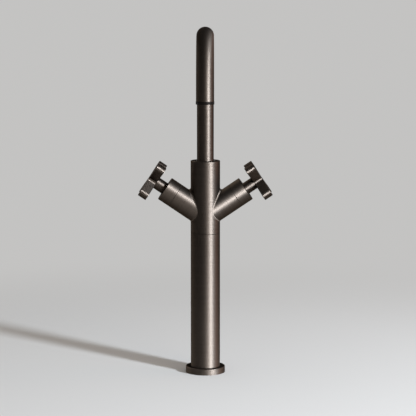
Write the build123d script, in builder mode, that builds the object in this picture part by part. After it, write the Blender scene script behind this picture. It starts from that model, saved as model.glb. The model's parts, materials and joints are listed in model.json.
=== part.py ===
from build123d import *

import os
from math import asin, cos, degrees, radians, sin, tan

os.makedirs("parts", exist_ok=True)

# A tall basin mixer with two cross handles and a swivel spout.
# Lengths are in millimetres and angles in degrees. Z is up, the spout points along -Y,
# the hot side is at -X, and the origin is the centre of the flange's underside.

# Clearances, on the radius unless a gap is named
fit_clearance = 0.05
disc_clearance = 0.08
open_clearance = 0.35
end_gap = 0.3
seam_chamfer = 0.25

# Foot flange, with the step inside it that carries the column
flange_diameter = 47.0
flange_height = 7.5
flange_edge = 0.5
shelf_height = 2.0
shelf_width = 3.5
gasket_offset = 1.0
gasket_width = 3.5
gasket_thickness = 1.5
flange_ring_section = 1.8

# Column tube, and the ring that couples it to the forked body
column_diameter = 35.0
column_wall = 2.0
column_length = 166.6
coupler_wall = 2.2
coupler_reach = 8.0

# Base insert with the two hose inlets and the stud hole
insert_height = 24.0
inlet_diameter = 9.0
inlet_depth = 12.0
inlet_edge = 1.7
inlet_angle = 22.0
stud_hole_diameter = 6.8
stud_hole_depth = 16.0
stud_edge = 3.0

# Supply risers inside the column
riser_diameter = 8.0
riser_wall = 0.8
riser_socket_depth = 8.0
riser_ring_section = 1.6
riser_ring_setback = 4.0

# Forked body: the column's upper part and its two branches
body_height = 86.7
body_edge = 0.8
fork_height = 20.7
branch_rise = 34.0
branch_diameter = 30.0
branch_length = 43.5
branch_wall = 2.1
branch_blend = 2.0

# Valve stack in each branch: its seat and shoulder are set back from the branch's end
seat_setback = 21.5
shoulder_setback = 5.5
seat_bore_diameter = 8.0
seat_bore_overlap = 1.6
seal_squeeze = 0.4
seal_thickness = 2.0
seal_width = 3.0
disc_thickness = 3.0
port_circle_radius = 4.6
port_width = 3.2
port_span = 62.0
shoulder_width = 2.5
annulus_width = 1.1
headwork_wall = 1.2
thread_length = 5.4
washer_thickness = 0.8
hex_thickness = 3.0
neck_diameter = 16.0
neck_length = 8.2
window_width = 7.0
cross_bore_diameter = 6.0
cross_bore_lead = 6.0

# Spindle, which turns the upper disc
spindle_diameter = 8.0
spindle_head_thickness = 2.2
tongue_width = 3.0
tongue_height = 1.0
spindle_ring_section = 1.4
spindle_ring_pitch = 4.0
spindle_ring_lead = 3.8
clip_thickness = 0.8
clip_width = 2.8
clip_mouth = 5.0
clip_offset = 0.4
clip_groove_depth = 0.45
spline_count = 20
spline_depth = 0.4
spline_length = 14.0

# Branch sleeve and cross handle
sleeve_length = 14.5
sleeve_wall = 3.2
sleeve_end_wall = 2.5
sleeve_edge = 0.5
sleeve_register = 1.5
sleeve_web_offset = 1.5
sleeve_web_thickness = 2.5
hub_diameter = 14.5
hub_showing = 12.2
hub_inside = 5.0
hub_spigot_diameter = 11.0
hub_spigot_length = 6.0
hub_screw_diameter = 3.2
hub_screw_setback = 6.6
hub_screw_key = 1.5
handle_span = 56.5
handle_arm_width = 9.0
handle_thickness = 10.8
handle_tip_radius = 1.5
handle_armpit_radius = 3.0
handle_edge = 0.45
handle_turn = 45.0

# Swivel spout
spout_diameter = 20.0
spout_wall = 2.0
arch_radius = 70.3
arch_height = 334.2
spigot_step = 1.0
spigot_bore_diameter = 12.0
spigot_length = 22.0
spigot_plug_length = 11.0
spigot_collar_step = 0.8
spigot_collar_height = 3.0
spigot_ring_section = 1.8
spigot_ring_setback = 4.4
swivel_half_range = 60.0
swivel_stop_allowance = 3.0
lock_groove_depth = 1.6
lock_groove_height = 3.4
lock_screw_diameter = 4.9
lock_tip_diameter = 2.6
lock_screw_recess = 0.6
lock_key = 2.5
socket_depth = 23.0
bearing_depth = 13.0
bearing_step = 1.5
bush_recess = 0.4
bush_height = 8.4
thrust_thickness = 0.8
mixing_bore_diameter = 14.0
mixing_floor_drop = 4.0

# Aerator in the spout's mouth
mouth_diameter = 17.1
mouth_depth = 8.6
aerator_collar_step = 0.3
aerator_collar_height = 3.2
aerator_sleeve_height = 7.0
aerator_wall = 1.2
aerator_lip_width = 0.7
aerator_lip_height = 0.6
straightener_height = 4.4
straightener_hole = 1.7
straightener_pitch = 2.3
screen_thickness = 0.5
screen_hole = 0.9
screen_pitch = 1.5
regulator_hole = 2.0
regulator_circle_radius = 4.2
regulator_holes = 6

# Radii and heights that follow from the sizes above
column_radius = column_diameter / 2
column_bore_radius = column_radius - column_wall
seam_z = shelf_height + column_length
body_top = seam_z + body_height
fork_z = seam_z + fork_height
branch_radius = branch_diameter / 2
counterbore_radius = branch_radius - branch_wall
thread_radius = counterbore_radius - shoulder_width
chamber_radius = thread_radius + fit_clearance
disc_bore_radius = thread_radius - annulus_width - headwork_wall
disc_radius = disc_bore_radius - disc_clearance
spindle_radius = spindle_diameter / 2
spout_radius = spout_diameter / 2
spigot_radius = spout_radius - spigot_step
socket_radius = spigot_radius + fit_clearance
socket_top = body_top - bearing_depth
socket_floor = socket_top - socket_depth

# Distances along a branch, from the column's axis
seat_start = branch_length - seat_setback
shoulder_start = branch_length - shoulder_setback
headwork_start = seat_start + seal_squeeze
fixed_disc_start = seat_start + seal_thickness
turning_disc_start = fixed_disc_start + disc_thickness
head_start = turning_disc_start + disc_thickness
head_end = head_start + spindle_head_thickness
spindle_bore_start = head_end + fit_clearance
hex_start = shoulder_start + washer_thickness
neck_start = hex_start + hex_thickness
neck_end = neck_start + neck_length
sleeve_end = branch_length + sleeve_length
hub_start = sleeve_end - hub_inside
handle_start = sleeve_end + hub_showing
handle_end = handle_start + handle_thickness
spline_start = hub_start - end_gap
spline_end = spline_start + spline_length


def ring(inner, outer, low, high):
    """Corners of a rectangular section, as (radius, height)."""
    return [(inner, low), (outer, low), (outer, high), (inner, high)]


def outline(points, plane=Plane.XZ):
    """A closed outline of (radius, height) points, in a plane through the axis."""
    with BuildSketch(plane) as profile:
        with BuildLine():
            Polyline(*points, close=True)
        make_face()
    return profile.sketch


def round_sections(radius, section, heights, plane=Plane.XZ):
    """The round sections of O-rings that share one axis."""
    with BuildSketch(plane) as profile:
        with Locations(*[(radius, height) for height in heights]):
            Circle(section / 2)
    return profile.sketch


def write(piece, label):
    """Labels a finished piece and writes its file."""
    piece.part.label = label
    export_step(piece.part, f"parts/{label}.step")


# Base flange: a turned foot ring, with a groove for the deck gasket and one for the O-ring
gasket_inner = column_radius + gasket_offset
gasket_outer = gasket_inner + gasket_width
flange_bore = column_radius + fit_clearance
flange_ring_radius = column_radius + flange_ring_section / 2 + fit_clearance / 2
flange_groove_radius = column_radius + flange_ring_section + fit_clearance
flange_ring_z = (shelf_height + flange_height) / 2
with BuildPart() as base_flange:
    revolve(
        outline(
            ring(column_radius - shelf_width, flange_diameter / 2, 0, flange_height)
        ),
        axis=Axis.Z,
    )
    chamfer(
        base_flange.edges().group_by(Axis.Z)[-1].sort_by(SortBy.LENGTH)[-1],
        length=flange_edge,
    )
    revolve(
        outline(ring(0, flange_bore, shelf_height, flange_height)),
        axis=Axis.Z,
        mode=Mode.SUBTRACT,
    )
    revolve(
        outline(ring(gasket_inner, gasket_outer, 0, gasket_thickness)),
        axis=Axis.Z,
        mode=Mode.SUBTRACT,
    )
    revolve(
        outline(
            ring(
                flange_bore - fit_clearance,
                flange_groove_radius,
                flange_ring_z - flange_ring_section / 2 - fit_clearance,
                flange_ring_z + flange_ring_section / 2 + fit_clearance,
            )
        ),
        axis=Axis.Z,
        mode=Mode.SUBTRACT,
    )
write(base_flange, "base_flange")

# Deck gasket: a flat rubber ring, flush with the flange's underside
with BuildPart() as base_gasket:
    revolve(
        outline(
            ring(
                gasket_inner + fit_clearance,
                gasket_outer - fit_clearance,
                0,
                gasket_thickness,
            )
        ),
        axis=Axis.Z,
    )
write(base_gasket, "base_gasket")

# O-ring that holds the flange on the column
with BuildPart() as flange_o_ring:
    revolve(
        round_sections(flange_ring_radius, flange_ring_section, [flange_ring_z]),
        axis=Axis.Z,
    )
write(flange_o_ring, "flange_o_ring")

# Column tube, from the flange's shelf to the seam
with BuildPart() as column_tube:
    with BuildSketch(Plane.XY.offset(shelf_height)):
        Circle(column_radius)
        Circle(column_bore_radius, mode=Mode.SUBTRACT)
    extrude(amount=column_length)
    chamfer(
        column_tube.edges().group_by(Axis.Z)[-1].sort_by(SortBy.LENGTH)[-1],
        length=seam_chamfer,
    )
write(column_tube, "column_tube")

# Base insert: a turned plug in the foot of the column, flush with the flange's underside
insert_radius = column_bore_radius - fit_clearance
insert_top = shelf_height + insert_height
riser_radius = riser_diameter / 2
riser_bore_radius = riser_radius - riser_wall
riser_groove_radius = riser_radius + riser_ring_section + fit_clearance
riser_circle_radius = insert_radius - riser_groove_radius - inlet_edge
riser_x = riser_circle_radius * cos(radians(inlet_angle))
riser_y = riser_circle_radius * sin(radians(inlet_angle))
riser_places = [(-riser_x, riser_y), (riser_x, riser_y)]
stud_y = -(insert_radius - stud_hole_diameter / 2 - stud_edge)
riser_foot = insert_top - riser_socket_depth
riser_head = seam_z + coupler_reach + riser_socket_depth
riser_ring_low = insert_top - riser_ring_setback
riser_ring_high = riser_head - riser_socket_depth + riser_ring_setback
riser_groove_height = riser_ring_section + 2 * fit_clearance
with BuildPart() as base_insert:
    with BuildSketch():
        Circle(column_radius - shelf_width - fit_clearance)
    extrude(amount=shelf_height)
    with BuildSketch(Plane.XY.offset(shelf_height)):
        Circle(insert_radius)
    extrude(amount=insert_height)
    with BuildSketch():
        with Locations(*riser_places):
            Circle(inlet_diameter / 2)
    extrude(amount=inlet_depth, mode=Mode.SUBTRACT)
    with BuildSketch():
        with Locations(*riser_places):
            Circle(riser_bore_radius)
    extrude(amount=insert_top, mode=Mode.SUBTRACT)
    with BuildSketch(Plane.XY.offset(riser_foot)):
        with Locations(*riser_places):
            Circle(riser_radius + fit_clearance)
    extrude(amount=riser_socket_depth, mode=Mode.SUBTRACT)
    with BuildSketch(Plane.XY.offset(riser_ring_low - riser_groove_height / 2)):
        with Locations(*riser_places):
            Circle(riser_groove_radius)
    extrude(amount=riser_groove_height, mode=Mode.SUBTRACT)
    with BuildSketch():
        with Locations((0, stud_y)):
            Circle(stud_hole_diameter / 2)
    extrude(amount=stud_hole_depth, mode=Mode.SUBTRACT)
write(base_insert, "base_insert")

# Supply risers: two tubes from the insert up to the forked body
for side, place in zip(("hot", "cold"), riser_places):
    with BuildPart() as riser:
        with BuildSketch(Plane.XY.offset(riser_foot)):
            with Locations(place):
                Circle(riser_radius)
                Circle(riser_bore_radius, mode=Mode.SUBTRACT)
        extrude(amount=riser_head - end_gap - riser_foot)
    write(riser, f"{side}_riser")

# O-rings at both ends of both risers
with BuildPart() as riser_o_rings:
    for place in riser_places:
        riser_axis_plane = Plane(origin=(*place, 0), x_dir=(1, 0, 0), z_dir=(0, -1, 0))
        revolve(
            round_sections(
                riser_radius + (riser_ring_section + fit_clearance) / 2,
                riser_ring_section,
                [riser_ring_low, riser_ring_high],
                riser_axis_plane,
            ),
            axis=Axis((*place, 0), (0, 0, 1)),
        )
write(riser_o_rings, "riser_o_rings")

# Coupler: a threaded ring inside the seam
coupler_outer = column_bore_radius - fit_clearance
with BuildPart() as column_coupler:
    with BuildSketch(Plane.XY.offset(seam_z - coupler_reach)):
        Circle(coupler_outer)
        Circle(coupler_outer - coupler_wall, mode=Mode.SUBTRACT)
    extrude(amount=2 * coupler_reach)
write(column_coupler, "column_coupler")


def branch_direction(sign):
    """The branch's axis: sign is -1 on the hot side and 1 on the cold side."""
    return (sign * cos(radians(branch_rise)), 0, sin(radians(branch_rise)))


def branch_plane(sign, distance):
    """A plane square to the branch, at a distance from the column's axis."""
    across = Plane(origin=(0, 0, fork_z), x_dir=(0, 1, 0), z_dir=branch_direction(sign))
    return across.offset(distance)


def branch_profile(sign):
    """A plane through the branch's axis: its x is the radius and its y the distance."""
    radial = (-sign * sin(radians(branch_rise)), 0, cos(radians(branch_rise)))
    return Plane(origin=(0, 0, fork_z), x_dir=radial, z_dir=(0, sign, 0))


def branch_axis(sign):
    """The branch's axis as a line to turn a profile about."""
    return Axis((0, 0, fork_z), branch_direction(sign))


# Forked body: column top and branches in one piece, with its chambers and sockets
seat_bore_start = riser_x / cos(radians(branch_rise)) - seat_bore_overlap
supply_top = fork_z + riser_x * tan(radians(branch_rise))
cross_bore_s = seat_start + cross_bore_lead
cross_bore_x = cross_bore_s * cos(radians(branch_rise)) - chamber_radius * sin(
    radians(branch_rise)
)
cross_bore_z = (
    fork_z
    + cross_bore_s * sin(radians(branch_rise))
    + chamber_radius * cos(radians(branch_rise))
)
mixing_floor = cross_bore_z - mixing_floor_drop
bearing_radius = spout_radius + bearing_step + fit_clearance
lock_z = (socket_top + socket_floor) / 2
with BuildPart() as forked_body:
    with BuildSketch(Plane.XY.offset(seam_z)):
        Circle(column_radius)
    extrude(amount=body_height)
    chamfer(forked_body.edges().group_by(Axis.Z)[0], length=seam_chamfer)
    fillet(forked_body.edges().group_by(Axis.Z)[-1], radius=body_edge)
    outer_edges = forked_body.edges()
    for sign in (-1, 1):
        with BuildSketch(branch_plane(sign, 0)):
            Circle(branch_radius)
        extrude(amount=branch_length)
    joint_edges = [
        edge
        for edge in forked_body.edges() - outer_edges
        if edge.geom_type != GeomType.CIRCLE and edge.geom_type != GeomType.LINE
    ]
    fillet(joint_edges, radius=branch_blend)
    for sign in (-1, 1):
        end_circles = [
            edge
            for edge in forked_body.edges().filter_by(GeomType.CIRCLE)
            if edge.arc_center.X * sign > column_radius
        ]
        chamfer(end_circles, length=seam_chamfer)
    with BuildSketch(Plane.XY.offset(seam_z)):
        Circle(column_bore_radius)
    extrude(amount=coupler_reach, mode=Mode.SUBTRACT)
    with BuildSketch(Plane.XY.offset(seam_z + coupler_reach)):
        with Locations(*riser_places):
            Circle(riser_radius + fit_clearance)
    extrude(amount=riser_socket_depth, mode=Mode.SUBTRACT)
    with BuildSketch(Plane.XY.offset(riser_ring_high - riser_groove_height / 2)):
        with Locations(*riser_places):
            Circle(riser_groove_radius)
    extrude(amount=riser_groove_height, mode=Mode.SUBTRACT)
    with BuildSketch(Plane.XY.offset(riser_head)):
        with Locations(*riser_places):
            Circle(riser_bore_radius)
    extrude(amount=supply_top - riser_head, mode=Mode.SUBTRACT)
    for sign in (-1, 1):
        with BuildSketch(branch_plane(sign, seat_bore_start)):
            Circle(seat_bore_diameter / 2)
        extrude(amount=seat_start - seat_bore_start, mode=Mode.SUBTRACT)
        with BuildSketch(branch_plane(sign, seat_start)):
            Circle(chamber_radius)
        extrude(amount=branch_length - seat_start, mode=Mode.SUBTRACT)
        with BuildSketch(branch_plane(sign, shoulder_start)):
            Circle(counterbore_radius)
        extrude(amount=branch_length - shoulder_start, mode=Mode.SUBTRACT)
    with BuildSketch(Plane.YZ):
        with Locations((0, cross_bore_z)):
            Circle(cross_bore_diameter / 2)
    extrude(amount=cross_bore_x, both=True, mode=Mode.SUBTRACT)
    revolve(
        outline(
            [
                (0, mixing_floor),
                (mixing_bore_diameter / 2, mixing_floor),
                (mixing_bore_diameter / 2, socket_floor),
                (socket_radius, socket_floor),
                (socket_radius, socket_top),
                (bearing_radius, socket_top),
                (bearing_radius, body_top),
                (0, body_top),
            ]
        ),
        axis=Axis.Z,
        mode=Mode.SUBTRACT,
    )
    with BuildSketch(Plane.XZ):
        with Locations((0, lock_z)):
            Circle(lock_screw_diameter / 2 + fit_clearance)
    extrude(amount=-column_radius, mode=Mode.SUBTRACT)
write(forked_body, "forked_body")

# Lock screw at the back: its tip runs in the spigot's groove and stops the swivel
groove_floor_radius = spigot_radius - lock_groove_depth
lock_tip_end = groove_floor_radius + end_gap
lock_step = socket_radius + end_gap
with BuildPart() as spout_lock_screw:
    with BuildSketch(Plane.XZ.offset(-lock_step)):
        with Locations((0, lock_z)):
            Circle(lock_screw_diameter / 2)
    extrude(amount=-(column_radius - lock_screw_recess - lock_step))
    with BuildSketch(Plane.XZ.offset(-lock_tip_end)):
        with Locations((0, lock_z)):
            Circle(lock_tip_diameter / 2)
    extrude(amount=-(lock_step - lock_tip_end))
    with BuildSketch(Plane.XZ.offset(-(column_radius - lock_screw_recess))):
        with Locations((0, lock_z)):
            RegularPolygon(lock_key / 2, 6, major_radius=False)
    extrude(amount=lock_key, mode=Mode.SUBTRACT)
write(spout_lock_screw, "spout_lock_screw")

# Thrust washer under the spigot's collar, and the bearing bush around the tube
thrust_top = socket_top + thrust_thickness
with BuildPart() as spout_thrust_washer:
    revolve(
        outline(
            ring(socket_radius, bearing_radius - fit_clearance, socket_top, thrust_top)
        ),
        axis=Axis.Z,
    )
write(spout_thrust_washer, "spout_thrust_washer")

bush_top = body_top - bush_recess
with BuildPart() as spout_bush:
    revolve(
        outline(
            ring(
                spout_radius + fit_clearance,
                bearing_radius - fit_clearance,
                bush_top - bush_height,
                bush_top,
            )
        ),
        axis=Axis.Z,
    )
write(spout_bush, "spout_bush")

# Spout spigot: the turned brass end that swivels in the body
collar_top = thrust_top + spigot_collar_height
spigot_foot = thrust_top - spigot_length
spigot_ring_heights = [
    spigot_foot + spigot_ring_setback,
    thrust_top - spigot_ring_setback,
]
spigot_floor_radius = spigot_radius - spigot_ring_section - fit_clearance / 2
lock_half_angle = degrees(asin(lock_tip_diameter / 2 / groove_floor_radius))
slot_half_angle = swivel_half_range + lock_half_angle + swivel_stop_allowance
with BuildPart() as spout_spigot:
    revolve(
        outline(
            [
                (spigot_bore_diameter / 2, spigot_foot),
                (spigot_radius, spigot_foot),
                (spigot_radius, thrust_top),
                (spout_radius + spigot_collar_step, thrust_top),
                (spout_radius + spigot_collar_step, collar_top),
                (spout_radius - spout_wall - fit_clearance, collar_top),
                (
                    spout_radius - spout_wall - fit_clearance,
                    collar_top + spigot_plug_length,
                ),
                (spigot_bore_diameter / 2, collar_top + spigot_plug_length),
            ]
        ),
        axis=Axis.Z,
    )
    for height in spigot_ring_heights:
        revolve(
            outline(
                ring(
                    spigot_floor_radius,
                    socket_radius,
                    height - spigot_ring_section / 2 - fit_clearance,
                    height + spigot_ring_section / 2 + fit_clearance,
                )
            ),
            axis=Axis.Z,
            mode=Mode.SUBTRACT,
        )
    slot_plane = Plane.XZ.rotated((0, 0, 90 - slot_half_angle))
    revolve(
        outline(
            ring(
                groove_floor_radius,
                socket_radius,
                lock_z - lock_groove_height / 2,
                lock_z + lock_groove_height / 2,
            ),
            slot_plane,
        ),
        axis=Axis.Z,
        revolution_arc=2 * slot_half_angle,
        mode=Mode.SUBTRACT,
    )
write(spout_spigot, "spout_spigot")

# O-rings on the spigot
with BuildPart() as spout_o_rings:
    revolve(
        round_sections(
            spigot_radius - spigot_ring_section / 2,
            spigot_ring_section,
            spigot_ring_heights,
        ),
        axis=Axis.Z,
    )
write(spout_o_rings, "spout_o_rings")

# Spout tube: straight riser and half-circle arch, with the aerator's mouth bored in its end
spout_reach = 2 * arch_radius
mouth_plane = Plane(origin=(0, -spout_reach, arch_height))
with BuildPart() as spout_tube:
    with BuildLine() as spout_path:
        Line((0, 0, collar_top), (0, 0, arch_height))
        ThreePointArc(
            (0, 0, arch_height),
            (0, -arch_radius, arch_height + arch_radius),
            (0, -spout_reach, arch_height),
        )
    with BuildSketch(Plane.XY.offset(collar_top)):
        Circle(spout_radius)
        Circle(spout_radius - spout_wall, mode=Mode.SUBTRACT)
    sweep(path=spout_path.wires()[0])
    with BuildSketch(mouth_plane):
        Circle(mouth_diameter / 2)
    extrude(amount=mouth_depth, mode=Mode.SUBTRACT)
write(spout_tube, "spout_tube")

# Aerator housing: the ring at the outlet and the sleeve that screws into the mouth
mouth_profile = Plane(
    origin=(0, -spout_reach, arch_height), x_dir=(1, 0, 0), z_dir=(0, -1, 0)
)
mouth_axis = Axis((0, -spout_reach, arch_height), (0, 0, 1))
aerator_sleeve_radius = mouth_diameter / 2 - fit_clearance
aerator_bore_radius = aerator_sleeve_radius - aerator_wall
aerator_collar_radius = spout_radius + aerator_collar_step
lip_top = aerator_lip_height - aerator_collar_height
with BuildPart() as aerator_housing:
    revolve(
        outline(
            [
                (aerator_bore_radius - aerator_lip_width, -aerator_collar_height),
                (aerator_collar_radius, -aerator_collar_height),
                (aerator_collar_radius, 0),
                (aerator_sleeve_radius, 0),
                (aerator_sleeve_radius, aerator_sleeve_height),
                (aerator_bore_radius, aerator_sleeve_height),
                (aerator_bore_radius, lip_top),
                (aerator_bore_radius - aerator_lip_width, lip_top),
            ],
            mouth_profile,
        ),
        axis=mouth_axis,
    )
write(aerator_housing, "aerator_housing")

# Flow straightener: a plastic disc with a honeycomb of holes
insert_disc_radius = aerator_bore_radius - fit_clearance
straightener_top = lip_top + straightener_height
screen_top = straightener_top + screen_thickness


def holes_within(pitch, hole, radius):
    """How many holes a round hexagonal pattern has from its middle to its rim."""
    return int((radius - hole) / pitch)


def hexagonal_places(rings, pitch):
    """Centres of a round hexagonal hole pattern, ring by ring."""
    places = [(0, 0)]
    for ring_number in range(1, rings + 1):
        for corner in range(6):
            start = Vector(ring_number * pitch, 0).rotate(Axis.Z, 60 * corner)
            stop = Vector(ring_number * pitch, 0).rotate(Axis.Z, 60 * (corner + 1))
            for step in range(ring_number):
                point = start + (stop - start) * (step / ring_number)
                places.append((point.X, point.Y))
    return places


with BuildPart() as flow_straightener:
    with BuildSketch(mouth_plane.offset(lip_top)):
        Circle(insert_disc_radius)
        rings = holes_within(straightener_pitch, straightener_hole, insert_disc_radius)
        with Locations(*hexagonal_places(rings, straightener_pitch)):
            RegularPolygon(
                straightener_hole / 2, 6, major_radius=False, mode=Mode.SUBTRACT
            )
    extrude(amount=straightener_height)
write(flow_straightener, "flow_straightener")

# Screen: a thin perforated disc on the straightener
with BuildPart() as aerator_screen:
    with BuildSketch(mouth_plane.offset(straightener_top)):
        Circle(insert_disc_radius)
        rings = holes_within(screen_pitch, screen_hole, insert_disc_radius)
        with Locations(*hexagonal_places(rings, screen_pitch)):
            Circle(screen_hole / 2, mode=Mode.SUBTRACT)
    extrude(amount=screen_thickness)
write(aerator_screen, "aerator_screen")

# Flow regulator: a disc with a ring of metering holes, flush with the sleeve's top
with BuildPart() as flow_regulator:
    with BuildSketch(mouth_plane.offset(screen_top)):
        Circle(insert_disc_radius)
        with PolarLocations(regulator_circle_radius, regulator_holes):
            Circle(regulator_hole / 2, mode=Mode.SUBTRACT)
    extrude(amount=aerator_sleeve_height - screen_top)
write(flow_regulator, "flow_regulator")

# Washer between the aerator and the step in the mouth
with BuildPart() as aerator_washer:
    with BuildSketch(mouth_plane.offset(aerator_sleeve_height)):
        Circle(aerator_sleeve_radius)
        Circle(aerator_bore_radius, mode=Mode.SUBTRACT)
    extrude(amount=mouth_depth - aerator_sleeve_height)
write(aerator_washer, "aerator_washer")


def port_sketch(plane, start_angle):
    """The two curved water ports of a ceramic disc."""
    with BuildSketch(plane) as ports:
        for angle in (start_angle, start_angle + 180):
            SlotArc(
                CenterArc(
                    (0, 0), port_circle_radius, angle - port_span / 2, port_span
                ),
                port_width,
            )
    return ports.sketch


# The valves, sleeves and handles, once for each side
for side, sign in (("hot", -1), ("cold", 1)):
    profile = branch_profile(sign)
    axis = branch_axis(sign)

    # Seat seal: a rubber ring squeezed between the chamber's floor and the fixed disc
    with BuildPart() as seat_seal:
        revolve(
            outline(
                ring(
                    disc_radius - seal_width, disc_radius, seat_start, fixed_disc_start
                ),
                profile,
            ),
            axis=axis,
        )
    write(seat_seal, f"{side}_seat_seal")

    # Fixed ceramic disc, with its ports to the sides
    with BuildPart() as fixed_disc:
        with BuildSketch(branch_plane(sign, fixed_disc_start)):
            Circle(disc_radius)
        extrude(amount=disc_thickness)
        extrude(
            port_sketch(branch_plane(sign, fixed_disc_start), 0),
            amount=disc_thickness,
            mode=Mode.SUBTRACT,
        )
    write(fixed_disc, f"{side}_fixed_disc")

    # Turning ceramic disc, shut at rest, with the slot that the spindle's tongue drives
    with BuildPart() as turning_disc:
        with BuildSketch(branch_plane(sign, turning_disc_start)):
            Circle(disc_radius)
        extrude(amount=disc_thickness)
        extrude(
            port_sketch(branch_plane(sign, turning_disc_start), 90),
            amount=disc_thickness,
            mode=Mode.SUBTRACT,
        )
        with BuildSketch(branch_plane(sign, head_start - tongue_height)):
            Rectangle(2 * disc_radius, tongue_width + 2 * fit_clearance)
        extrude(amount=tongue_height, mode=Mode.SUBTRACT)
    write(turning_disc, f"{side}_turning_disc")

    # Headwork body: the brass housing of the valve, with its hexagon and side windows
    neck_radius = neck_diameter / 2
    with BuildPart() as headwork:
        revolve(
            outline(
                [
                    (disc_bore_radius, headwork_start),
                    (thread_radius - annulus_width, headwork_start),
                    (thread_radius - annulus_width, shoulder_start - thread_length),
                    (thread_radius, shoulder_start - thread_length),
                    (thread_radius, hex_start),
                    (neck_radius, neck_start),
                    (neck_radius, neck_end),
                    (spindle_radius + fit_clearance, neck_end),
                    (spindle_radius + fit_clearance, spindle_bore_start),
                    (disc_bore_radius, spindle_bore_start),
                ],
                profile,
            ),
            axis=axis,
        )
        with BuildSketch(branch_plane(sign, hex_start)):
            RegularPolygon(counterbore_radius - open_clearance, 6)
            Circle(spindle_radius + fit_clearance, mode=Mode.SUBTRACT)
        extrude(amount=hex_thickness)
        with BuildSketch(branch_plane(sign, turning_disc_start + fit_clearance)):
            Rectangle(window_width, 2 * thread_radius)
            Circle(disc_radius, mode=Mode.SUBTRACT)
        extrude(amount=head_end - turning_disc_start, mode=Mode.SUBTRACT)
    write(headwork, f"{side}_headwork")

    # Sealing washer under the hexagon
    with BuildPart() as headwork_washer:
        revolve(
            outline(
                ring(
                    chamber_radius,
                    counterbore_radius - open_clearance,
                    shoulder_start,
                    hex_start,
                ),
                profile,
            ),
            axis=axis,
        )
    write(headwork_washer, f"{side}_headwork_washer")

    # Spindle: head with its driving tongue, ringed shaft, clip groove and splined end
    clip_start = neck_end + clip_offset
    clip_groove_radius = spindle_radius - clip_groove_depth
    spline_radius = spindle_radius - fit_clearance
    spindle_ring_places = [
        head_end + spindle_ring_lead,
        head_end + spindle_ring_lead + spindle_ring_pitch,
    ]
    spindle_floor_radius = spindle_radius - spindle_ring_section - fit_clearance / 2
    with BuildPart() as spindle:
        revolve(
            outline(
                [
                    (0, head_start),
                    (disc_radius, head_start),
                    (disc_radius, head_end),
                    (spindle_radius, head_end),
                    (spindle_radius, spline_start),
                    (spline_radius, spline_start),
                    (spline_radius, spline_end),
                    (0, spline_end),
                ],
                profile,
            ),
            axis=axis,
        )
        with BuildSketch(branch_plane(sign, head_start - tongue_height)):
            Circle(disc_radius)
            Rectangle(2 * disc_radius, 2 * disc_radius, mode=Mode.SUBTRACT)
            Rectangle(2 * (disc_radius - open_clearance), tongue_width)
        extrude(amount=tongue_height)
        for place in spindle_ring_places:
            revolve(
                outline(
                    ring(
                        spindle_floor_radius,
                        spindle_radius + fit_clearance,
                        place - spindle_ring_section / 2 - fit_clearance,
                        place + spindle_ring_section / 2 + fit_clearance,
                    ),
                    profile,
                ),
                axis=axis,
                mode=Mode.SUBTRACT,
            )
        revolve(
            outline(
                ring(
                    clip_groove_radius,
                    spindle_radius + fit_clearance,
                    clip_start - fit_clearance,
                    clip_start + clip_thickness + fit_clearance,
                ),
                profile,
            ),
            axis=axis,
            mode=Mode.SUBTRACT,
        )
        tooth_space = radians(180 / spline_count) * spline_radius
        with BuildSketch(branch_plane(sign, spline_start)):
            with PolarLocations(spline_radius, spline_count):
                Rectangle(2 * spline_depth, tooth_space)
        extrude(amount=spline_length, mode=Mode.SUBTRACT)
    write(spindle, f"{side}_spindle")

    # O-rings on the spindle
    with BuildPart() as spindle_o_rings:
        revolve(
            round_sections(
                spindle_radius - spindle_ring_section / 2,
                spindle_ring_section,
                spindle_ring_places,
                profile,
            ),
            axis=axis,
        )
    write(spindle_o_rings, f"{side}_spindle_o_rings")

    # Clip that keeps the spindle in its housing
    clip_inner = clip_groove_radius + fit_clearance
    with BuildPart() as spindle_clip:
        with BuildSketch(branch_plane(sign, clip_start)):
            Circle(clip_inner + clip_width)
            Circle(clip_inner, mode=Mode.SUBTRACT)
            with Locations((0, clip_inner + clip_width)):
                Rectangle(
                    clip_mouth, 2 * (clip_inner + clip_width), mode=Mode.SUBTRACT
                )
        extrude(amount=clip_thickness)
    write(spindle_clip, f"{side}_spindle_clip")

    # Branch sleeve: the turned end cover, screwed on the headwork's neck
    sleeve_cavity = branch_radius - sleeve_wall
    web_start = branch_length + sleeve_web_offset
    web_end = web_start + sleeve_web_thickness
    hub_radius = hub_diameter / 2
    with BuildPart() as branch_sleeve:
        revolve(
            outline(
                [
                    (sleeve_cavity, branch_length - sleeve_register),
                    (
                        counterbore_radius - fit_clearance,
                        branch_length - sleeve_register,
                    ),
                    (counterbore_radius - fit_clearance, branch_length),
                    (branch_radius - seam_chamfer, branch_length),
                    (branch_radius, branch_length + seam_chamfer),
                    (branch_radius, sleeve_end - sleeve_edge),
                    (branch_radius - sleeve_edge, sleeve_end),
                    (hub_radius + open_clearance, sleeve_end),
                    (hub_radius + open_clearance, sleeve_end - sleeve_end_wall),
                    (sleeve_cavity, sleeve_end - sleeve_end_wall),
                    (sleeve_cavity, web_end),
                    (neck_radius + fit_clearance, web_end),
                    (neck_radius + fit_clearance, web_start),
                    (sleeve_cavity, web_start),
                ],
                profile,
            ),
            axis=axis,
        )
    write(branch_sleeve, f"{side}_branch_sleeve")

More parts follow.
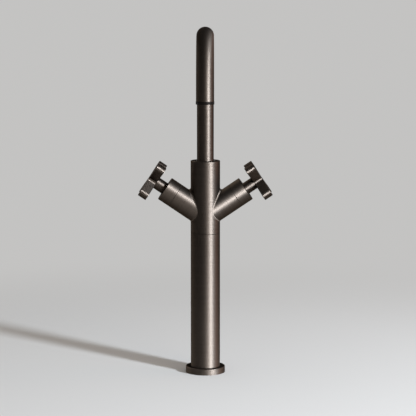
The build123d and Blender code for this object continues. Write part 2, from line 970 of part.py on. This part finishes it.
    # Handle hub: the stem between sleeve and handle, bored for the splined spindle
    hub_bore_radius = spline_radius + fit_clearance
    hub_bore_end = spline_end + end_gap
    hub_screw_s = handle_start - hub_screw_setback
    hub_screw_radius = hub_screw_diameter / 2
    screw_plane = Plane(
        origin=Vector(0, 0, fork_z) + Vector(*branch_direction(sign)) * hub_screw_s,
        x_dir=branch_direction(sign),
        z_dir=(0, 1, 0),
    )
    with BuildPart() as handle_hub:
        revolve(
            outline(
                [
                    (hub_bore_radius, hub_start),
                    (hub_radius, hub_start),
                    (hub_radius, handle_start),
                    (hub_spigot_diameter / 2, handle_start),
                    (hub_spigot_diameter / 2, handle_start + hub_spigot_length),
                    (0, handle_start + hub_spigot_length),
                    (0, hub_bore_end),
                    (hub_bore_radius, hub_bore_end),
                ],
                profile,
            ),
            axis=axis,
        )
        with BuildSketch(screw_plane):
            Circle(hub_screw_radius + fit_clearance)
        extrude(amount=hub_radius, mode=Mode.SUBTRACT)
    write(handle_hub, f"{side}_handle_hub")

    # Grub screw at the back of the hub, which bears on the spindle
    hub_screw_out = hub_radius - end_gap
    with BuildPart() as hub_screw:
        with BuildSketch(screw_plane.offset(hub_bore_radius)):
            Circle(hub_screw_radius)
        extrude(amount=hub_screw_out - hub_bore_radius)
        with BuildSketch(screw_plane.offset(hub_screw_out)):
            RegularPolygon(hub_screw_key / 2, 6, major_radius=False)
        extrude(amount=-hub_screw_key, mode=Mode.SUBTRACT)
    write(hub_screw, f"{side}_hub_screw")

    # Cross handle: four equal arms, cut from plate, with rounded tips and armpits
    with BuildPart() as cross_handle:
        with BuildSketch(branch_plane(sign, handle_start)) as cross:
            for turn in (handle_turn, handle_turn + 90):
                Rectangle(handle_span, handle_arm_width, rotation=turn)
            corners = cross.vertices().sort_by_distance(Vertex(0, 0, 0))
            fillet(corners[:4], radius=handle_armpit_radius)
            corners = cross.vertices().sort_by_distance(Vertex(0, 0, 0))
            fillet(corners[-8:], radius=handle_tip_radius)
        extrude(amount=handle_thickness)
        face_edges = cross_handle.edges() - cross_handle.edges().filter_by(axis)
        chamfer(face_edges, length=handle_edge)
        with BuildSketch(branch_plane(sign, handle_start)):
            Circle(hub_spigot_diameter / 2 + fit_clearance)
        extrude(amount=hub_spigot_length + fit_clearance, mode=Mode.SUBTRACT)
    write(cross_handle, f"{side}_cross_handle")
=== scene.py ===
import json
from math import cos, pi, radians, sin

import bpy
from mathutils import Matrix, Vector


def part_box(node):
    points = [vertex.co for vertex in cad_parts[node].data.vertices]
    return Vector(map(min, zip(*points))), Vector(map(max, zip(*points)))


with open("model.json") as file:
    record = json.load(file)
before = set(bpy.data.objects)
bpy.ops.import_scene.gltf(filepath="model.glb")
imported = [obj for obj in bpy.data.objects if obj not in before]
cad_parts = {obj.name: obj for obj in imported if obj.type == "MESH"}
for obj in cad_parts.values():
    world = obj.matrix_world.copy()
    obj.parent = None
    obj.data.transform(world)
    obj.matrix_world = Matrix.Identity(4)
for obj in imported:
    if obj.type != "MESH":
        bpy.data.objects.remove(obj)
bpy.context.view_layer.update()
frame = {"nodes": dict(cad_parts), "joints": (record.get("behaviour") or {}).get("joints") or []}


# Base flange: the turned brass ring that stands on the deck and hides the tap hole. It is
# brushed on the lathe, so fine rings run round it, and then coated in a dark bronze. The
# column drops into it and an O-ring holds it there.
class Wire:
    """One value on its way through a shader, which takes ordinary arithmetic."""

    def __init__(self, tree, socket=None):
        self.tree = tree
        self.socket = socket

    def feed(self, node, inputs):
        """Gives the sockets of a node their values or links."""
        for name, value in inputs.items():
            if isinstance(value, Wire):
                self.tree.links.new(value.socket, node.inputs[name])
            else:
                node.inputs[name].default_value = value

    def node(self, kind, settings=None, inputs=None, output=0):
        """Adds a node, its settings first, and returns the wire of one of its outputs."""
        made = self.tree.nodes.new("ShaderNode" + kind)
        for name, value in (settings or {}).items():
            setattr(made, name, value)
        self.feed(made, inputs or {})
        return Wire(self.tree, made.outputs[output])

    def outputs(self):
        """The wires of every output of the same node."""
        return [Wire(self.tree, socket) for socket in self.socket.node.outputs]

    def maths(self, operation, left, right=0.0):
        return self.node("Math", {"operation": operation}, {0: left, 1: right})

    def __add__(self, other):
        return self.maths("ADD", self, other)

    def __radd__(self, other):
        return self.maths("ADD", other, self)

    def __sub__(self, other):
        return self.maths("SUBTRACT", self, other)

    def __rsub__(self, other):
        return self.maths("SUBTRACT", other, self)

    def __mul__(self, other):
        return self.maths("MULTIPLY", self, other)

    def __rmul__(self, other):
        return self.maths("MULTIPLY", other, self)

    def __truediv__(self, other):
        return self.maths("DIVIDE", self, other)

    def __pow__(self, other):
        return self.maths("POWER", self, other)

    def __abs__(self):
        return self.maths("ABSOLUTE", self)

    def __gt__(self, other):
        return self.maths("GREATER_THAN", self, other)

    def at_least(self, other):
        return self.maths("MAXIMUM", self, other)

    def at_most(self, other):
        return self.maths("MINIMUM", self, other)

    def sign(self):
        return self.maths("SIGN", self)

    def step(self, low, high):
        """Goes smoothly from 0 at low to 1 at high."""
        settings = {"interpolation_type": "SMOOTHSTEP"}
        return self.node("MapRange", settings, {0: self, 1: low, 2: high})

    def mix(self, first, second):
        """The first colour where this wire is 0, and the second where it is 1."""
        inputs = {0: self, 6: (*first, 1.0), 7: (*second, 1.0)}
        return self.node("Mix", {"data_type": "RGBA"}, inputs, output=2)

    def join(self, first, second):
        """The first normal where this wire is 0, and the second where it is 1."""
        inputs = {0: self, 4: first, 5: second}
        return self.node("Mix", {"data_type": "VECTOR"}, inputs, output=1)


def new_material(name):
    """A material, its shader, and the wires of a point's three coordinates in metres."""
    material = bpy.data.materials.new(name)
    material.use_nodes = True
    shader = material.node_tree.nodes["Principled BSDF"]
    place = Wire(material.node_tree).node("TexCoord", output="Object")
    return material, shader, place.node("SeparateXYZ", inputs={0: place}).outputs()


def dress(material, *nodes):
    """Puts a material on pieces of the frame."""
    for node in nodes:
        frame["nodes"][node].material_slots[0].material = material


def tool_lines(along, x, y, width, run=0.03):
    """Lines that a tool leaves, as wide as width along the axis and as long as run round it."""
    spread = along.node("CombineXYZ", inputs={0: x / run, 1: y / run, 2: along / width})
    return along.node("TexNoise", inputs={"Vector": spread, "Scale": 1.0, "Detail": 2.0})


# The way in which the bristles drag over every piece: to the right, forwards and up
drag = Vector((0.41, -0.85, 0.25))


def brushed(measure, x, y, lean, groove_depth=0.000005, broad_depth=0.0000025, run=0.03):
    """The normal and the broad lines of a surface brushed across a measure along its axis.

    The bristles make every groove lean like a roof tile, and lean is that slope along the
    axis, times the distance.
    """
    groove_width = 0.00012
    broad_width = 0.0013
    waver = 40.0
    broad = tool_lines(measure, x, y, broad_width, run)
    phase = measure * (2 * pi / groove_width) + broad * waver
    grooves = measure.maths("SINE", phase) * 0.5
    height = grooves + broad * (broad_depth / groove_depth) - lean * (1 / groove_depth)
    bump = {"Height": height, "Distance": groove_depth, "Filter Width": 0.01}
    return height.node("Bump", inputs=bump), broad


def facing(wire):
    """The three parts of the direction in which the surface faces."""
    normal = wire.node("TexCoord", output="Normal")
    return normal.node("SeparateXYZ", inputs={0: normal}).outputs()


def dark_bronze(name, brushing, tone_shift=None):
    """Brushed brass coated dark bronze; brushing gives its normal and its broad lines, and the
    last argument, if given, shifts the tone: 1 where the coat is coloured lighter and duller,
    and less than 0 where it is darker, which carries painted highlight and painted shade as
    well. Faces that look down are coloured darker, a painted shade."""
    darkest = (0.03, 0.022, 0.017)
    lightest = (0.152, 0.122, 0.099)
    middle_tone = 0.533
    lines_tone = 0.08
    underside_shade_tone = 0.42
    shift_tone = 0.39
    shift_roughness = 0.04
    material, shader, (x, y, z) = new_material(name)
    normal, broad = brushing(x, y, z)
    lines = broad.step(0.3, 0.7) * lines_tone
    # Painted shade: faces that look down get a darker coat.
    painted_underside_shade = facing(x)[2].step(0.0, -0.65) * underside_shade_tone
    tone = lines - painted_underside_shade + middle_tone
    roughness = 0.42 + (broad - 0.5) * 0.06
    if tone_shift:
        # This makes the coat lighter and duller, or darker; it carries painted highlight and
        # painted shade as well.
        shift_amount = tone_shift(x, y, z)
        tone = tone + shift_amount * shift_tone
        roughness = roughness + shift_amount * shift_roughness
    looks = {
        "Base Color": tone.mix(darkest, lightest),
        "Metallic": 1.0,
        "Roughness": roughness,
        "Specular Tint": (0.45, 0.43, 0.41, 1.0),
        "Normal": normal,
    }
    broad.feed(shader, looks)
    return material


def column_measure(x, y, z):
    """Rings round the column: by height on its sides, and by radius on its flat faces."""
    return z + (x * x + y * y) ** 0.5


def level_top(wire):
    """1 where the surface is level and faces up."""
    return facing(wire)[2].step(0.8, 0.95)


def column_lean(x, y, z):
    """The ramp of the column's grooves: on its sides they lean up, a little more towards the
    foot, and on its level faces they lean forwards and to the right."""
    foot_slope = drag.z + 0.09
    slope_loss = 0.18
    level_slope = 0.8
    level_ramp = (x * drag.x + y * drag.y) * level_top(x) * level_slope
    return z * (foot_slope - z * slope_loss) + level_ramp


def flange_brushing(x, y, z):
    """The lathe's rings are deeper than a brush's lines, and run further round."""
    measure = column_measure(x, y, z)
    lean = column_lean(x, y, z)
    return brushed(measure, x, y, lean, groove_depth=0.000008, broad_depth=0.00005, run=0.12)


def flange_rim_tone_and_top_shade(x, y, z):
    """The rim is coloured lighter and duller, and the whole level top is coloured darker, a
    painted shade.
    """
    return 1.0 - level_top(x) * 2.0


dress(dark_bronze("flange_bronze", flange_brushing, flange_rim_tone_and_top_shade), "base_flange")

# Deck gasket and O-rings: moulded black rubber, pressed into the grooves of the flange, the
# risers, the spindles and the swivel. The flat washers under the valves and the aerator are
# cut from the same rubber.
material, shader, (x, y, z) = new_material("black_rubber")
place = x.node("CombineXYZ", inputs={0: x, 1: y, 2: z})
grain = x.node("TexNoise", inputs={"Vector": place, "Scale": 900.0})
looks = {
    "Base Color": grain.mix((0.012, 0.012, 0.013), (0.024, 0.024, 0.025)),
    "Roughness": 0.5 + grain * 0.25,
    "Normal": grain.node("Bump", inputs={"Height": grain, "Distance": 0.00003}),
}
grain.feed(shader, looks)
dress(material, "base_gasket", "flange_o_ring", "riser_o_rings", "spout_o_rings")
dress(material, "aerator_washer")
for side in ("hot", "cold"):
    dress(material, f"{side}_seat_seal", f"{side}_headwork_washer", f"{side}_spindle_o_rings")


# Base insert: a turned brass plug that closes the foot of the column. It takes the two hoses,
# the fixing stud and the risers. The coupler ring in the seam and the spout's spigot are
# turned from the same bar and, being out of sight, keep the bare metal.
def bare_brass(name, measuring):
    """Bare turned brass, with the lines of the cutting tool across a measure."""
    material, shader, (x, y, z) = new_material(name)
    measure = measuring(x, y, z)
    fine = tool_lines(measure, x, y, 0.00022)
    broad = tool_lines(measure, x, y, 0.0013)
    height = fine * 0.3 + broad * 0.7
    looks = {
        "Base Color": broad.step(0.25, 0.75).mix((0.62, 0.42, 0.16), (0.74, 0.53, 0.23)),
        "Metallic": 1.0,
        "Roughness": 0.24 + fine * 0.16,
        "Normal": height.node("Bump", inputs={"Height": height, "Distance": 0.00002}),
    }
    height.feed(shader, looks)
    return material


brass = bare_brass("turned_brass", column_measure)
dress(brass, "base_insert", "column_coupler", "spout_spigot")

# Risers: two drawn copper tubes that lead the water up through the column. The drawing die
# leaves faint lines along them, and the copper has dulled unevenly since.
material, shader, (x, y, z) = new_material("drawn_copper")
die_lines = tool_lines(x + y * 0.37, z, z, 0.0003, run=0.05)
patches = tool_lines(z, x, y, 0.012, run=0.012)
looks = {
    "Base Color": patches.step(0.3, 0.7).mix((0.5, 0.2, 0.11), (0.76, 0.39, 0.26)),
    "Metallic": 1.0,
    "Roughness": 0.25 + patches * 0.15,
    "Normal": die_lines.node("Bump", inputs={"Height": die_lines, "Distance": 0.00001}),
}
die_lines.feed(shader, looks)
dress(material, "hot_riser", "cold_riser")

# Column tube: the lower, plain length of the column, a brass tube brushed and coated like the
# flange. It screws on the coupler, and only a hairline shows where the forked body begins.
def column_brushing(x, y, z):
    return brushed(column_measure(x, y, z), x, y, column_lean(x, y, z))


def column_foot_lightening(x, y, z):
    """The coat is coloured lighter and duller towards the column's foot."""
    plain_tone_height = 0.16
    return z.step(plain_tone_height, -0.01)


dress(dark_bronze("column_bronze", column_brushing, column_foot_lightening), "column_tube")

# Forked body: the column's upper end and its two branches, machined from one casting. The
# column and each branch are brushed round their own axes, so the lines change direction at
# the small rounding where they meet.
turns = {joint["name"]: joint for joint in frame["joints"]}
fork_height = turns["cold_turn"]["pos_m"][2]
branch_out, _, branch_up = turns["cold_turn"]["axis"]
column_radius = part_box("column_tube")[1].x


def branch_reach(out, z):
    """How far along a branch's axis a point lies, from the fork."""
    return out * branch_out + (z - fork_height) * branch_up


def branch_measure(out, y, z):
    """Rings round a branch: along its axis on the sides, and by radius on its flat faces."""
    across = (z - fork_height) * branch_out - out * branch_up
    return branch_reach(out, z) + (across * across + y * y) ** 0.5


def branch_brushing(out, y, z, lean):
    return brushed(branch_measure(out, y, z), out, y, branch_reach(out, z) * lean)


def fork_zones(x, y):
    """1 outside the column; how far the surface turns from a branch; 1 past the rounding."""
    rounding_reach = 0.004
    radius = (x * x + y * y) ** 0.5
    outside = radius.step(column_radius + 0.00001, column_radius + 0.00005)
    facing_x, _, facing_up = facing(x)
    facing_out = facing_x * x.sign()
    turned = abs(facing_out * branch_out + facing_up * branch_up)
    rounding_end = column_radius + rounding_reach
    well_outside = radius.step(rounding_end, rounding_end + 0.001)
    return outside, turned, well_outside


def rounding_painted_highlight(x, y, z):
    """The rounding is coloured lighter and duller, a painted highlight along it."""
    outside, turned, well_outside = fork_zones(x, y)
    return outside * turned.step(0.0, 0.2) * (1.0 - well_outside)


# How high the rounding's middle is at the front, and each branch's part of the drag
rounding_middle = 0.1954
hot_lean = drag.z * branch_up - drag.x * branch_out
cold_lean = drag.z * branch_up + drag.x * branch_out


def rounding_brushing(x, y, z):
    """The rounding's normal: its grooves are deeper, and the hand that finishes it presses it
    flat towards the front, less and less further up."""
    slope_loss = 10.4
    pressure = 0.5
    pressure_loss = 22.0
    above = z - rounding_middle
    ramp = above * drag.z - above * above * slope_loss
    normal = brushed(z, x, y, ramp, groove_depth=0.00001)[0]
    forwards = x.node("CombineXYZ", inputs={0: x.sign() * 0.4, 1: -0.9, 2: 0.1})
    flatness = pressure - above.at_least(0.0) * pressure_loss
    return flatness.join(normal, forwards)


def forked_brushing(x, y, z):
    """The column's brushing within its radius, the branches' where the surface runs along
    them, and the rounding's between the two, which is widest at its middle."""
    widest = 0.3
    narrowest = 0.06
    narrowing = 40.0
    outside, turned, well_outside = fork_zones(x, y)
    limit = (widest - abs(z - rounding_middle) * narrowing).at_least(narrowest)
    on_branch = (outside * turned.step(limit, 0.0)).at_least(well_outside)
    lean = hot_lean + (x > 0.0) * (cold_lean - hot_lean)
    column_normal, column_broad = column_brushing(x, y, z)
    branch_normal, branch_broad = branch_brushing(abs(x), y, z, lean)
    normal = outside.join(column_normal, rounding_brushing(x, y, z))
    normal = on_branch.join(normal, branch_normal)
    return normal, column_broad + (branch_broad - column_broad) * on_branch


dress(dark_bronze("forked_bronze", forked_brushing, rounding_painted_highlight), "forked_body")

# Valve discs: two lapped ceramic plates in each branch. The lower one stands still and the
# upper one, which the spindle drives by its slot, turns on it. Their ports aren't modelled.
material, shader, (x, y, z) = new_material("lapped_ceramic")
place = x.node("CombineXYZ", inputs={0: x, 1: y, 2: z})
speckle = x.node("TexNoise", inputs={"Vector": place, "Scale": 2500.0, "Detail": 3.0})
looks = {
    "Base Color": speckle.step(0.35, 0.65).mix((0.72, 0.69, 0.62), (0.83, 0.81, 0.76)),
    "Roughness": 0.12 + speckle * 0.12,
    "Normal": speckle.node("Bump", inputs={"Height": speckle, "Distance": 0.000002}),
}
speckle.feed(shader, looks)
for side in ("hot", "cold"):
    dress(material, f"{side}_fixed_disc", f"{side}_turning_disc")

# Clips and screws: small steel parts. A stainless clip keeps each spindle in its headwork. A
# blackened grub screw holds each hub, and one like it at the back of the body stops the
# swivel. The screen inside the outlet is stainless too.
def steel(name, dark, light):
    """Drawn steel, with the lines of the die between two tones."""
    material, shader, (x, y, z) = new_material(name)
    lines = tool_lines(y + x * 0.3, x, z, 0.0004, run=0.004)
    looks = {
        "Base Color": lines.step(0.3, 0.7).mix(dark, light),
        "Metallic": 1.0,
        "Roughness": 0.26 + lines * 0.14,
        "Normal": lines.node("Bump", inputs={"Height": lines, "Distance": 0.000006}),
    }
    lines.feed(shader, looks)
    return material


stainless = steel("stainless_steel", (0.42, 0.41, 0.4), (0.58, 0.57, 0.55))
blackened = steel("blackened_steel", (0.035, 0.033, 0.032), (0.06, 0.057, 0.055))
dress(stainless, "aerator_screen", "hot_spindle_clip", "cold_spindle_clip")
dress(blackened, "spout_lock_screw", "hot_hub_screw", "cold_hub_screw")


# Headworks, spindles, sleeves and hubs: all turned round the branch they sit on. Headwork and
# spindle stay bare brass inside the branch, while the sleeve that covers them and the hub
# that carries the handle are coated like the body.
def hub_painted_shade(x, y, z):
    """The hubs are coloured darker all over, a painted shade for the shelter of the handle."""
    return -0.55


for side, sign, lean in (("hot", -1, hot_lean), ("cold", 1, cold_lean)):
    def side_measure(x, y, z):
        return branch_measure(x * sign, y, z)

    def side_brushing(x, y, z):
        return branch_brushing(x * sign, y, z, lean)

    brass = bare_brass(f"{side}_valve_brass", side_measure)
    dress(brass, f"{side}_headwork", f"{side}_spindle")
    dress(dark_bronze(f"{side}_sleeve_bronze", side_brushing), f"{side}_branch_sleeve")
    dress(dark_bronze(f"{side}_hub_bronze", side_brushing, hub_painted_shade), f"{side}_handle_hub")

# Cross handles: each is sawn from thick brass plate. Its rim is brushed parallel to the plate
# and its two faces are brushed in circles, then the edges are broken and the whole is coated.
tip_reach = 0.02825
arm_half = 0.0045
tip_length = 0.004
chamfer = 0.0015
chamfer_slope = 0.64
outer_chamfer = 0.0034
outer_slope = 0.36


def past(distance, limit):
    """How far a distance goes past a limit."""
    return (distance - limit).at_least(0.0)


for side, sign, lean in (("hot", -1, hot_lean), ("cold", 1, cold_lean)):
    def handle_brushing(x, y, z):
        out = x * sign
        across = (z - fork_height) * branch_out - out * branch_up
        first = abs((across + y) * 0.5 ** 0.5)
        second = abs((across - y) * 0.5 ** 0.5)
        length = first.at_least(second)
        width = first.at_most(second)
        corner = past(length, tip_reach - chamfer) + past(width, arm_half - chamfer)
        eased = past(length, tip_reach - outer_chamfer) + past(width, arm_half - outer_chamfer)
        at_tip = length > tip_reach - tip_length
        rounded = (corner * chamfer_slope + eased * outer_slope) * at_tip
        ramp = branch_reach(out, z) * lean + rounded
        return brushed(branch_measure(out, y, z), out, y, ramp)

    dress(dark_bronze(f"{side}_handle_bronze", handle_brushing), f"{side}_cross_handle")

# Swivel bearing: the bush round the spout and the thrust washer under its collar, both turned
# from a dark grey bearing plastic that needs no grease.
material, shader, (x, y, z) = new_material("bearing_plastic")
rings = tool_lines(column_measure(x, y, z), x, y, 0.0003)
looks = {
    "Base Color": rings.mix((0.02, 0.02, 0.021), (0.034, 0.034, 0.036)),
    "Roughness": 0.42 + rings * 0.2,
    "Normal": rings.node("Bump", inputs={"Height": rings, "Distance": 0.00001}),
}
rings.feed(shader, looks)
dress(material, "spout_thrust_washer", "spout_bush")

# Spout tube: one brass tube, bent over a former into a half circle, then brushed round its
# section from end to end and coated. It swivels in the top of the body.
tube_low, tube_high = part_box("spout_tube")
tube_radius = tube_high.x
arch_radius = -(tube_low.y + tube_radius) / 2
arch_height = tube_high.z - arch_radius - tube_radius


def spout_brushing(x, y, z):
    """Rings round the tube: by the angle over the arch, and by height on the straight end."""
    rise = z - arch_height
    angle = x.maths("ARCTAN2", rise, y + arch_radius)
    bent = rise > 0.0
    along = rise + (angle * arch_radius - rise) * bent
    middle_up = rise + (x.maths("SINE", angle) * arch_radius - rise) * bent
    middle_back = x.maths("COSINE", angle) * arch_radius * bent
    return brushed(along, x, x, middle_up * drag.z + middle_back * drag.y)


dress(dark_bronze("spout_bronze", spout_brushing), "spout_tube")


# Aerator: a housing screwed into the spout's mouth, whose collar is all that shows. It is near
# black and turned fine. Inside it are a moulded honeycomb and a metering disc in pale plastic,
# with a stainless screen between them.
def aerator_measure(x, y, z):
    """Rings round the outlet's own axis."""
    depth = y + 2 * arch_radius
    return z + (x * x + depth * depth) ** 0.5


material, shader, (x, y, z) = new_material("black_collar")
rings = tool_lines(aerator_measure(x, y, z), x, y, 0.0003)
looks = {
    "Base Color": rings.mix((0.012, 0.01, 0.009), (0.02, 0.017, 0.015)),
    "Metallic": 1.0,
    "Roughness": 0.4 + rings * 0.2,
    "Normal": rings.node("Bump", inputs={"Height": rings, "Distance": 0.00001}),
}
rings.feed(shader, looks)
dress(material, "aerator_housing")

material, shader, (x, y, z) = new_material("pale_plastic")
place = x.node("CombineXYZ", inputs={0: x, 1: y, 2: z})
flow = x.node("TexNoise", inputs={"Vector": place, "Scale": 350.0, "Detail": 3.0})
looks = {
    "Base Color": flow.mix((0.66, 0.67, 0.65), (0.78, 0.78, 0.75)),
    "Roughness": 0.36 + flow * 0.16,
    "Normal": flow.node("Bump", inputs={"Height": flow, "Distance": 0.00001}),
}
flow.feed(shader, looks)
dress(material, "flow_straightener", "flow_regulator")

# Floor and background: a plain pale floor, wide enough to fill the view. Far from the object
# it is shown at one even brightness that runs on into the world above it. Over the horizon
# the metal reflects a dim room, with one soft light panel behind it on the left.
floor_colour = (0.765, 0.735, 0.688)
pale = (0.55, 0.546, 0.539)
soft = (0.36, 0.36, 0.365)
dim = (0.012, 0.01, 0.009)
panel_colour = (1.1, 1.08, 1.05)
panel_place = (-0.3, 0.85, 0.43)
horizon_height = 0.06
floor_radius = 40.0
floor_near = 0.3
floor_far = 0.9


def seen_rays(start):
    """1 for rays that show the background, from the camera, reflected or passed through; and
    1 for the reflected ones alone."""
    path = start.node("LightPath")
    kinds = {wire.socket.name: wire for wire in path.outputs()}
    reflected = kinds["Is Glossy Ray"]
    seen = kinds["Is Camera Ray"] + reflected + kinds["Is Transmission Ray"]
    return seen.at_most(1.0), reflected


bpy.ops.object.select_all(action="DESELECT")
bpy.ops.mesh.primitive_circle_add(vertices=96, radius=floor_radius, fill_type="NGON")
floor = bpy.context.object
floor.name = "floor"
material, shader, (x, y, z) = new_material("pale_floor")
looks = {"Base Color": (*floor_colour, 1.0), "Roughness": 0.9, "Specular IOR Level": 0.0}
x.feed(shader, looks)
distance = (x * x + y * y) ** 0.5
even = distance.node("Emission", inputs={"Color": (*pale, 1.0)})
far = distance.step(floor_near, floor_far) * seen_rays(distance)[0]
plain = Wire(material.node_tree, shader.outputs[0])
surface = far.node("MixShader", inputs={0: far, 1: plain, 2: even})
surface.feed(material.node_tree.nodes["Material Output"], {"Surface": surface})
floor.data.materials.append(material)

world = bpy.data.worlds.new("studio")
bpy.context.scene.world = world
world.use_nodes = True
start = Wire(world.node_tree)
direction = start.node("TexCoord", output="Generated")
height = start.node("SeparateXYZ", inputs={0: direction}).outputs()[2]
room = height.step(0.0, horizon_height).mix(pale, dim)
inputs = {0: direction, 1: panel_place}
towards = start.node("VectorMath", {"operation": "DOT_PRODUCT"}, inputs, output=1)
panel = towards.step(0.55, 1.0) * height.step(0.05, 0.3)
inputs = {0: panel, 6: room, 7: (*panel_colour, 1.0)}
room = start.node("Mix", {"data_type": "RGBA", "blend_type": "ADD"}, inputs, output=2)
seen, reflected = seen_rays(start)
inputs = {0: reflected, 6: (*pale, 1.0), 7: room}
shown = start.node("Mix", {"data_type": "RGBA"}, inputs, output=2)
inputs = {0: seen, 6: (*soft, 1.0), 7: shown}
colour = start.node("Mix", {"data_type": "RGBA"}, inputs, output=2)
start.feed(world.node_tree.nodes["Background"], {"Color": colour})


# Studio light: a soft lamp at the right front draws the bright line down the column. Two
# large, weak and warm ones round it and at the right give that line its brown edges.
def soft_lamp(name, azimuth, elevation, distance, size, power, colour=(1.0, 1.0, 1.0)):
    """A round lamp aimed at the middle of the object; azimuth 0 is in front of the spout."""
    turn = radians(azimuth)
    tilt = radians(elevation)
    away = Vector((sin(turn) * cos(tilt), -cos(turn) * cos(tilt), sin(tilt)))
    light = bpy.data.lights.new(name, "AREA")
    light.shape = "DISK"
    light.size = size
    light.energy = power
    light.color = colour
    lamp = bpy.data.objects.new(name, light)
    lamp.location = Vector((0, 0, fork_height)) + away * distance
    lamp.rotation_euler = away.to_track_quat("Z", "Y").to_euler()
    bpy.context.collection.objects.link(lamp)


soft_lamp("key_lamp", 46.5, 18.9, distance=2.5, size=0.3, power=82.0, colour=(0.88, 1.0, 1.15))
soft_lamp("warm_lamp", 32.0, 18.9, distance=2.5, size=1.6, power=8.0, colour=(1.0, 0.8, 0.6))
soft_lamp("side_lamp", 94.0, 12.0, distance=2.5, size=1.6, power=5.0, colour=(1.0, 0.5, 0.32))

# Camera: the photograph's viewing angle, from a little above the arch and straight in front,
# tilted down by 7 degrees, with a long lens.
camera_place = (0.00434, -2.0, 0.4527)
camera_tilt = radians(82.752)
camera_turn = radians(0.0338)
camera = bpy.data.cameras.new("camera")
camera.lens = 146.54
camera.sensor_width = 36.0
view = bpy.data.objects.new("camera", camera)
view.location = camera_place
view.rotation_euler = (camera_tilt, 0.0, camera_turn)
bpy.context.collection.objects.link(view)
bpy.context.scene.camera = view
bpy.context.scene.view_settings.view_transform = "Standard"
